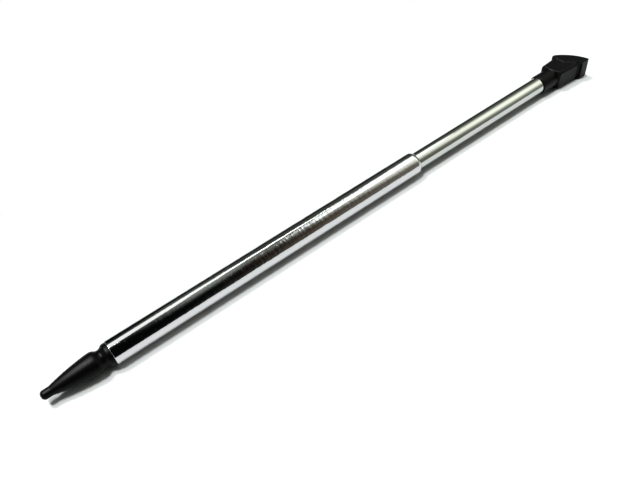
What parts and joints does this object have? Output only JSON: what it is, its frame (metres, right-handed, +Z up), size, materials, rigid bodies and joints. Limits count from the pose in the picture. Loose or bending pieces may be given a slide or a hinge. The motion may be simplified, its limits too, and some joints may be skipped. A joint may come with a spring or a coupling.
{
  "type": "telescoping stylus pen",
  "caption": "Slim telescoping stylus: a chromed barrel with a blunt black tip, and a thinner chromed shaft with a black oblique end cap that slides out of it and turns in it.",
  "frame": {"origin": "on the pen's axis, in the plane of the barrel tube's front rim", "axes": "+X along the pen from the tip to the end cap, +Z up from the surface the pen lies on, with the fingernail groove on the -Y side"},
  "size_m": [0.1101, 0.0052, 0.004],
  "materials": {
    "black_plastic": "moulded, semi-gloss",
    "barrel_chrome": "polished, lightly scuffed",
    "shaft_chrome": "polished",
    "brass": "turned",
    "spring_bronze": "rolled sheet"
  },
  "bodies": {
    "barrel": {"tip": "black_plastic", "barrel_tube": "barrel_chrome"},
    "friction_pack": {"friction_shim_upper": "spring_bronze", "friction_shim_lower": "spring_bronze"},
    "shaft": {"shaft_tube": "shaft_chrome", "glide_bush": "brass", "end_cap": "black_plastic"}
  },
  "joints": [
    {"name": "telescope", "type": "slide", "parent": "barrel", "child": "friction_pack", "axis": [1, 0, 0], "range_m": [-0.0304, 0]},
    {"name": "shaft_turn", "type": "hinge", "parent": "friction_pack", "child": "shaft", "pos_m": [0.056, 0, 0], "axis": [1, 0, 0], "continuous": true}
  ]
}
